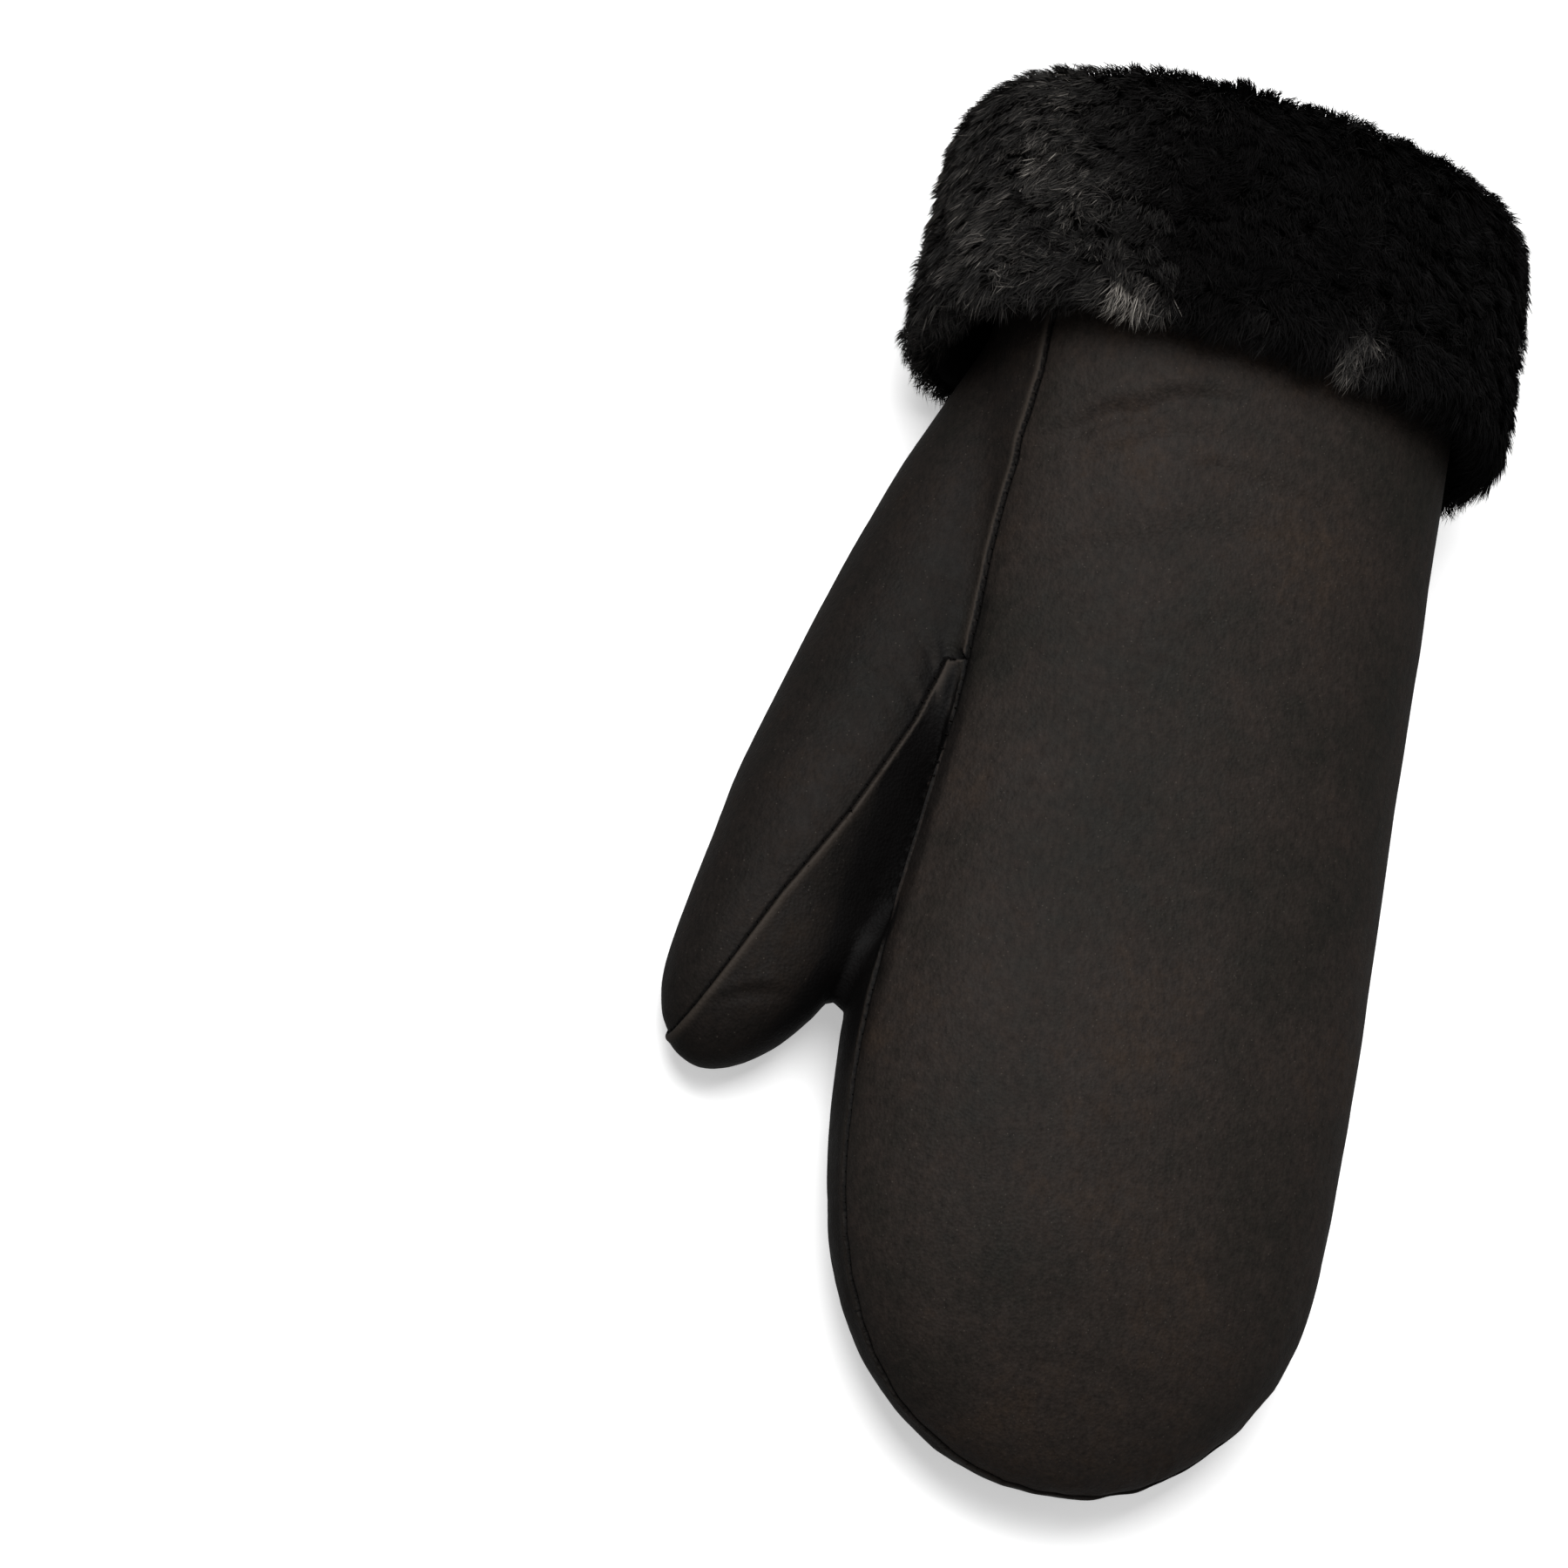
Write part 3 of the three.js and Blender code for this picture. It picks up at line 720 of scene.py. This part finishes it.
# %% Stitches in the seams
STITCH_PITCH = 3.0 * MM
THREAD_THICK = 0.34 * MM
STITCH_HALF = 0.5 * MM
STITCH_RISE = 0.35 * MM
SEAM_LOOK = 2 * MM
THREAD_SIDES = 6
THREAD_RINGS = 5


def chains_of(edges):
    """Walks loose edges and gives each unbroken line as a list of vertex numbers."""
    neighbours = {}
    for first, second in edges:
        neighbours.setdefault(first, set()).add(second)
        neighbours.setdefault(second, set()).add(first)
    starts = sorted(neighbours, key=lambda vertex: (len(neighbours[vertex]) == 2, vertex))
    lines = []
    for start in starts:
        while neighbours[start]:
            line = [start]
            while neighbours[line[-1]]:
                onward = min(neighbours[line[-1]])
                neighbours[line[-1]].discard(onward)
                neighbours[onward].discard(line[-1])
                line.append(onward)
            lines.append(line)
    return lines


def unit(vectors):
    return vectors / np.maximum(np.linalg.norm(vectors, axis=-1, keepdims=True), 1e-9)


def seam_hidden(place):
    """True under the hand's edge, where the thumb's strip dives and no stitch shows."""
    return CREASE_X < place[0] < THUMB_SIDE_X and DIVE_Y[0] < place[1] < DIVE_Y[2] and place[2] > UPPER_SIDE_Z


centres, tangents, ups = [], [], []
for line in chains_of(seam_edges):
    track, track_up = skin_places[line], skin_normals[line]
    walked = np.concatenate([[0], np.cumsum(np.linalg.norm(np.diff(track, axis=0), axis=1))])
    for at in np.arange(STITCH_PITCH / 2, walked[-1], STITCH_PITCH):
        if seam_hidden(track[np.argmin(np.abs(walked - at))]):
            continue
        ends = [
            np.array([np.interp(at + onward, walked, track[:, axis]) for axis in range(3)])
            for onward in (-SEAM_LOOK, 0, SEAM_LOOK)
        ]
        centres.append(ends[1])
        tangents.append(ends[2] - ends[0])
        ups.append([np.interp(at, walked, track_up[:, axis]) for axis in range(3)])
centres, tangents, ups = np.array(centres), unit(np.array(tangents)), unit(np.array(ups))
across = unit(np.cross(tangents, ups))
rings = []
for share in np.linspace(-1, 1, THREAD_RINGS):
    middle = centres + across * STITCH_HALF * share + ups * (STITCH_RISE - 0.25 * MM * share**2)
    for angle in np.linspace(0, 2 * math.pi, THREAD_SIDES, endpoint=False):
        rings.append(middle + 0.5 * THREAD_THICK * (tangents * math.cos(angle) + ups * math.sin(angle)))
thread_verts = np.stack(rings, axis=1)
per_stitch = THREAD_RINGS * THREAD_SIDES
one_stitch = [list(range(THREAD_SIDES))[::-1], list(range(per_stitch - THREAD_SIDES, per_stitch))]
for ring in range(THREAD_RINGS - 1):
    for side in range(THREAD_SIDES):
        low, high = ring * THREAD_SIDES, (ring + 1) * THREAD_SIDES
        onward = (side + 1) % THREAD_SIDES
        one_stitch.append([low + side, low + onward, high + onward, high + side])
thread_mesh = bpy.data.meshes.new("seam_stitches")
thread_mesh.from_pydata(
    thread_verts.reshape(-1, 3).tolist(), [],
    [[number * per_stitch + corner for corner in face] for number in range(len(centres)) for face in one_stitch],
)
waxed_thread, tree = new_material("black_waxed_thread")
where = add_node(tree, "ShaderNodeTexCoord").outputs["Object"]
twist = add_node(tree, "ShaderNodeTexWave", Vector=where, Scale=1 / (1.2 * MM), Distortion=1.0)
twist_bump = add_node(tree, "ShaderNodeBump", Strength=0.6, Distance=0.05 * MM, Height=twist.outputs["Fac"])
thread_shader = add_node(
    tree, "ShaderNodeBsdfPrincipled", Roughness=0.8, Specular_IOR_Level=0.05, Normal=twist_bump.outputs[0],
    Base_Color=ramp(tree, twist.outputs["Fac"], (0.0, 0x050404), (1.0, 0x0D0B0A)),
)
finish_material(tree, thread_shader)
thread_mesh.materials.append(waxed_thread)
stitches = bpy.data.objects.new("seam_stitches", thread_mesh)
bpy.context.collection.objects.link(stitches)
edit(stitches, (bpy.ops.mesh.normals_make_consistent, {"inside": False}))
bpy.ops.object.shade_smooth()
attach(stitches, "root")
print(len(centres), "stitches")

# %% [markdown]
# Sheared wool stands as a dense plush that leans in small locks. Under the strands there is always more
# wool, never bare skin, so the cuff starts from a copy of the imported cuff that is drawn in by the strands'
# height and covered with a dark, bumpy undercoat.

# %% Undercoat of the cuff
UNDERCOAT_IN = 3.2 * MM
HEM_IN = 3.6 * MM
HEM_Y = cad_high[1] - 60 * MM
CURL_SPAN = 2.2 * MM
WOOL_DEEP = 0x070606
WOOL_DARK = 0x0D0C0C

wool_coat, tree = new_material("black_wool_undercoat")
where = add_node(tree, "ShaderNodeTexCoord").outputs["Object"]
curls = add_node(
    tree, "ShaderNodeTexNoise", Vector=where, Scale=1 / CURL_SPAN, Detail=6.0, Roughness=0.7, Distortion=1.0,
)
coat_bump = add_node(tree, "ShaderNodeBump", Strength=1.0, Distance=1.2 * MM, Height=curls.outputs["Fac"])
coat_shader = add_node(
    tree, "ShaderNodeBsdfPrincipled", Roughness=0.95, Specular_IOR_Level=0.1, Normal=coat_bump.outputs[0],
    Base_Color=ramp(tree, curls.outputs["Fac"], (0.4, WOOL_DEEP), (0.7, WOOL_DARK)),
)
finish_material(tree, coat_shader)

cuff_coat = copy_of(["cuff"], "cuff_undercoat")
shape_with(cuff_coat, "REMESH", mode="VOXEL", voxel_size=2.6 * MM)
shape_with(cuff_coat, "SMOOTH", factor=0.5, iterations=12)
shape_with(cuff_coat, "DISPLACE", strength=-UNDERCOAT_IN, mid_level=0.0, direction="NORMAL")
shape_with(cuff_coat, "SMOOTH", factor=0.5, iterations=4)
cuff_places = points_of(cuff_coat.data)
cuff_places[:, 1] += HEM_IN * (1 - smooth_step(cuff_places[:, 1], HEM_Y, HEM_Y + 14 * MM))
cuff_places[:, 2] = np.maximum(cuff_places[:, 2], 0.3 * MM)
move_points(cuff_coat.data, cuff_places)
cuff_coat.data.materials.append(wool_coat)
pick(cuff_coat)
bpy.ops.object.shade_smooth()
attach(cuff_coat, "root")
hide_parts("cuff")
print("undercoat", len(cuff_coat.data.polygons), "faces")

# %% [markdown]
# Inside the mouth the same wool covers the whole wall. The lining is the inside of the remeshed wall, made
# lumpy by noise and given a few millimetres of thickness towards the leather.

# %% Wool lining
LINING_THICK = 3.0 * MM

shape_with(lining, "DECIMATE", ratio=0.2)
lining_places = points_of(lining.data)
lining_normals = points_of(lining.data, "normal")
lining_middle_z = float(lining_places[:, 2].mean())
lumps = noise_at(lining_places, 7 * MM, 5) + 0.5 * noise_at(lining_places, 3 * MM, 6)
move_points(lining.data, lining_places + lining_normals * (lumps * 1.1 * MM)[:, None])
shape_with(lining, "SOLIDIFY", thickness=LINING_THICK, offset=-1.0)
lining.data.materials.clear()
lining.data.materials.append(wool_coat)
pick(lining)
bpy.ops.object.shade_smooth()
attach(lining, "root")
print("lining", len(lining.data.polygons), "faces")

# %% [markdown]
# Wool fibres are a few hundredths of a millimetre thick, far too fine to show, so the strands are drawn some
# quarter of a millimetre wide. Each is a tapered ribbon with a root, a bend and a point. A strand belongs to
# the lock nearest to it: the lock gives it a lean, a height and a shade, and draws its tip towards its
# neighbours'. Particle hair would do this too, but ribbons stay real faces in every other program.

# %% Where strands may grow
rng = np.random.default_rng(7)


def scatter(mesh, count, share_below=1.0):
    """Random places on a mesh, spread by area, with the normals there; fewer on faces that look down."""
    mesh.calc_loop_triangles()
    corners = np.empty(len(mesh.loop_triangles) * 3, dtype=np.int32)
    mesh.loop_triangles.foreach_get("vertices", corners)
    corners = corners.reshape(-1, 3)
    co, no = points_of(mesh), points_of(mesh, "normal")
    cross = np.cross(co[corners[:, 1]] - co[corners[:, 0]], co[corners[:, 2]] - co[corners[:, 0]])
    area = np.linalg.norm(cross, axis=1)
    area *= np.where(cross[:, 2] < -0.3 * area, share_below, 1.0)
    chosen = corners[rng.choice(len(corners), size=count, p=area / area.sum())]
    u, v = rng.random((2, count, 1))
    u, v = np.where(u + v > 1, 1 - u, u), np.where(u + v > 1, 1 - v, v)
    weights = (1 - u - v, u, v)
    spots = sum(w * co[chosen[:, i]] for i, w in enumerate(weights))
    up = sum(w * no[chosen[:, i]] for i, w in enumerate(weights))
    return spots, unit(up)


def in_the_open(spots, up, room):
    """True where nothing of the leather stands within that room above a spot."""
    return np.array([
        leather_tree.ray_cast(Vector(spot) + 0.5 * MM * Vector(n), Vector(n), room)[0] is None
        for spot, n in zip(spots, up)
    ])


def nearest_lock(locks, spots):
    """The number of the lock nearest to each spot."""
    tree = KDTree(len(locks))
    for number, place in enumerate(locks):
        tree.insert(place, number)
    tree.balance()
    return np.array([tree.find(spot)[1] for spot in spots])

# %% The look of a strand
WOOL_SHADES = ((0.0, 0x030303), (0.35, 0x0D0C0C), (0.65, 0x302F2E), (0.85, 0x605C58), (1.0, 0xB0AAA2))

wool, tree = new_material("sheared_black_wool")
tip_share = add_node(tree, "ShaderNodeAttribute", {"attribute_name": "tip"}).outputs["Fac"]
shade = add_node(tree, "ShaderNodeAttribute", {"attribute_name": "shade"}).outputs["Fac"]
strand_colour = add_node(
    tree, "ShaderNodeMix", {"data_type": "RGBA"}, Factor=tip_share, i6=linear(WOOL_DEEP),
    i7=ramp(tree, shade, *WOOL_SHADES),
)
wool_shader = add_node(
    tree, "ShaderNodeBsdfPrincipled", Base_Color=strand_colour.outputs[2], Roughness=0.7, Specular_IOR_Level=0.06,
)
finish_material(tree, wool_shader)

# %% Strands of the cuff
STRANDS = 200000
LOCK_SPAN = 2.6 * MM
STRAND_LONG = 4.9 * MM
STRAND_WIDE = 0.24 * MM
CREST_Y = cad_high[1] - 8 * MM
BRIGHT_TUFTS = [
    {"x": -17.8, "y": 82, "span": 6.5, "bright": 1.2},
    {"x": 6.1, "y": 83, "span": 5.5, "bright": 0.75},
    {"x": 28.5, "y": 86, "span": 7, "bright": 0.75},
]

spots, up = scatter(cuff_coat.data, int(STRANDS * 1.5), share_below=0.4)
open_spots = in_the_open(spots, up, 9 * MM) | (spots[:, 1] > CREST_Y)
spots, up = spots[open_spots][:STRANDS], up[open_spots][:STRANDS]
area_of_cuff = sum(polygon.area for polygon in cuff_coat.data.polygons)
lock_count = int(area_of_cuff / LOCK_SPAN**2)
lock_spots, lock_up = scatter(cuff_coat.data, lock_count)
lock = nearest_lock(lock_spots, spots)

# Near the hem the wool is left long and hangs over the leather
hem = 1 - smooth_step(spots[:, 1], HEM_Y + 3 * MM, HEM_Y + 13 * MM)
hem *= smooth_step(spots[:, 2], 0.03, 0.045)

# The brushed direction: towards the hem, and sideways to the thumb's side on that side
comb = np.tile(np.array([0.0, -1.0, 0.0]), (len(spots), 1))
comb[:, 0] -= 0.9 * smooth_step(-spots[:, 0], -0.005, 0.035) * (up[:, 2] > -0.2) * (1 - 0.7 * hem)
comb[:, 2] -= 0.4 * (1 - np.abs(up[:, 2]))
drift = np.stack([noise_at(lock_spots, 13 * MM, seed) for seed in (11, 12, 13)], axis=1)
swirl = rng.normal(size=(lock_count, 3)) * 0.4 + 1.0 * drift
calm = 1 - 0.5 * hem[:, None]
lean = comb + (swirl[lock] + rng.normal(size=(len(spots), 3)) * 0.4) * calm
lean -= up * np.sum(lean * up, axis=1, keepdims=True)
lean = unit(lean)

tall = (0.86 + 0.2 * rng.random(lock_count))[lock] * (0.72 + 0.4 * rng.random(len(spots)))
tall += 0.16 * noise_at(lock_spots, 6 * MM, 31)[lock]
long = STRAND_LONG * tall * (1 + 0.55 * hem)
rise = long * np.clip(0.66 + 0.1 * rng.normal(size=lock_count)[lock] - 0.3 * hem, 0.2, 0.9)
run = np.sqrt(np.maximum(long**2 - rise**2, (0.3 * long) ** 2))
pull = (lock_spots[lock] - spots) * (0.12 + 0.2 * hem[:, None])
pull -= up * np.sum(pull * up, axis=1, keepdims=True)

# Shades: grey-brown on the thumb's side, near black on the other, partly the wool's own colour and partly painted
# light and shade; clouded, and a shade for each lock
cloud = noise_at(lock_spots, 20 * MM, 21) + 0.6 * noise_at(lock_spots, 7 * MM, 22)
lock_shade = 0.6 - 0.5 * smooth_step(lock_spots[:, 0], -0.036, 0.004) + 0.14 * cloud
lock_shade += 0.04 * rng.normal(size=lock_count)
# Painted shade: the wool near the hem is darker, except on the thumb's side
lock_shade -= 0.16 * (1 - smooth_step(lock_spots[:, 1], HEM_Y, HEM_Y + 18 * MM)) * (lock_spots[:, 0] > -0.03)
for tuft in BRIGHT_TUFTS:
    away = np.hypot(lock_spots[:, 0] / MM - tuft["x"], (lock_spots[:, 1] / MM - tuft["y"])) / tuft["span"]
    lock_shade += tuft["bright"] * np.exp(-(away**2)) * (lock_spots[:, 2] > 0.03)
strand_shade = np.clip(lock_shade[lock] + 0.11 * rng.normal(size=len(spots)), 0, 1)

# %% The ribbons as meshes
STRAND_ROWS = ((0.0, 1.0, 0.0), (0.55, 0.85, 0.35), (1.0, 0.0, 1.0))


def ribbons(name, base, n, t, height, reach, draw, shades):
    """One mesh of strands: a root and a bend as wide as the strand, and a point."""
    side = unit(np.cross(t, n) + 0.7 * n * rng.normal(size=(len(base), 1)) + 0.3 * rng.normal(size=base.shape))
    half = 0.5 * STRAND_WIDE * (0.7 + 0.6 * rng.random((len(base), 1)))
    height, reach = height[:, None], reach[:, None]
    rows, along = [], []
    for share, width, tip in STRAND_ROWS:
        centre = base + n * height * (1 - (1 - share) ** 1.7) + t * reach * share**1.6 + draw * share
        rows += [centre] if width == 0 else [centre - side * half * width, centre + side * half * width]
        along += [tip] if width == 0 else [tip, tip]
    verts = np.stack(rows, axis=1)
    verts[:, :, 2] = np.maximum(verts[:, :, 2], 0.1 * MM)
    count, per = verts.shape[:2]
    start = (np.arange(count) * per)[:, None]
    corners = (start + np.array([[0, 1, 3, 2, 2, 3, 4]])).ravel()
    totals = np.tile([4, 3], count)
    mesh = bpy.data.meshes.new(name)
    mesh.vertices.add(count * per)
    mesh.vertices.foreach_set("co", verts.astype(np.float32).ravel())
    mesh.loops.add(len(corners))
    mesh.loops.foreach_set("vertex_index", corners.astype(np.int32))
    mesh.polygons.add(len(totals))
    mesh.polygons.foreach_set("loop_start", (np.cumsum(totals) - totals).astype(np.int32))
    mesh.update(calc_edges=True)
    for key, values in (("tip", np.tile(along, count)), ("shade", np.repeat(shades, per))):
        mesh.attributes.new(key, "FLOAT", "POINT").data.foreach_set("value", values.astype(np.float32))
    mesh.materials.append(wool)
    mesh.shade_smooth()
    piece = bpy.data.objects.new(name, mesh)
    bpy.context.collection.objects.link(piece)
    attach(piece, "root")
    print(name, count, "strands")


THIRDS = (("thumb_side", -1.0, -0.012), ("middle", -0.012, 0.034), ("outer_side", 0.034, 1.0))
for third, from_x, to_x in THIRDS:
    for half_name, keep in (("upper", up[:, 2] >= 0), ("lower", up[:, 2] < 0)):
        keep = np.flatnonzero(keep & (spots[:, 0] >= from_x) & (spots[:, 0] < to_x))
        ribbons(
            f"cuff_wool_{half_name}_{third}", spots[keep], up[keep], lean[keep], rise[keep], run[keep], pull[keep],
            strand_shade[keep],
        )

# %% [markdown]
# The same wool stands inside the mouth, where a hand goes in. Only its first few centimetres can be seen, so
# only these get strands; further in, the bumpy lining is enough.

# %% Strands inside the mouth
MOUTH_STRANDS = 22000
MOUTH_DEPTH = 40 * MM

spots, up = scatter(lining.data, MOUTH_STRANDS * 6)
palm_or_back = np.array([0, 0, 1]) * np.sign(lining_middle_z - spots[:, 2])[:, None]
inside = (spots[:, 1] > MOUTH_Y - MOUTH_DEPTH) & (np.sum(up * palm_or_back, axis=1) > 0)
spots, up = spots[inside][:MOUTH_STRANDS], up[inside][:MOUTH_STRANDS]
out_of_mouth = np.tile(np.array([0.0, 1.0, 0.0]), (len(spots), 1)) + 0.5 * rng.normal(size=(len(spots), 3))
out_of_mouth = unit(out_of_mouth - up * np.sum(out_of_mouth * up, axis=1, keepdims=True))
mouth_rise = 3.2 * MM * (0.7 + 0.6 * rng.random(len(spots)))
ribbons(
    "mouth_wool", spots, up, out_of_mouth, mouth_rise, mouth_rise, np.zeros_like(spots),
    np.clip(0.3 + 0.12 * rng.normal(size=len(spots)), 0, 1),
)
